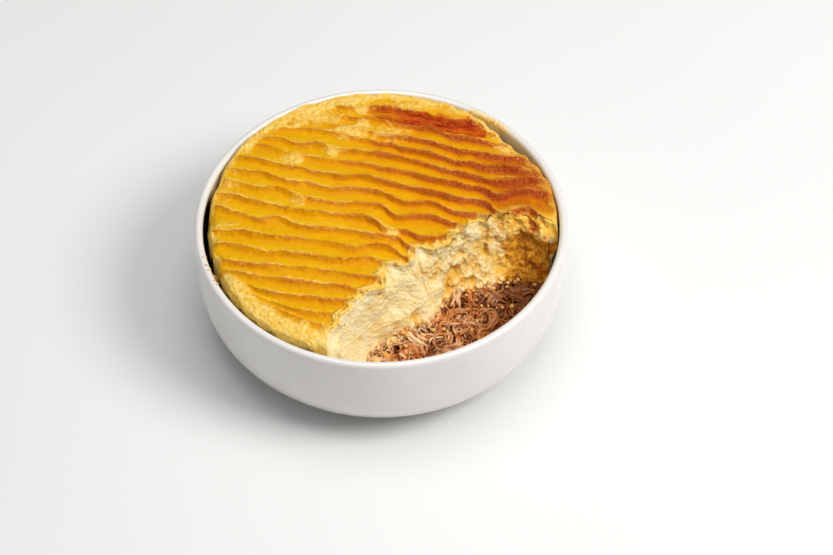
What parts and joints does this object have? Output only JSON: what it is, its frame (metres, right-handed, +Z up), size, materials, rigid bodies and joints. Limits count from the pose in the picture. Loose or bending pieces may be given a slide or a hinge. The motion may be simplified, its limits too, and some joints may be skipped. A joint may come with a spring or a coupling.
{
  "type": "shepherd's pie in a round bowl",
  "caption": "Shepherd's pie in a straight-sided round porcelain bowl: shredded meat under fork-ridged browned mash, with a portion spooned out.",
  "frame": {"origin": "centre of the bowl's foot, on the surface the bowl stands on", "axes": "+Z up; the spooned-out hollow lies towards +X and -Y, and the fork ridges run roughly along X"},
  "size_m": [0.15, 0.15, 0.0562],
  "materials": {
    "porcelain": "smooth white glaze",
    "meat": "moist shredded meat, orange-brown fibres",
    "mash": "glossy egg-yellow baked mash with browned ridge crests, cream where cut"
  },
  "bodies": {
    "root": {"dish": "porcelain", "meat": "meat", "mash": "mash"}
  },
  "joints": []
}
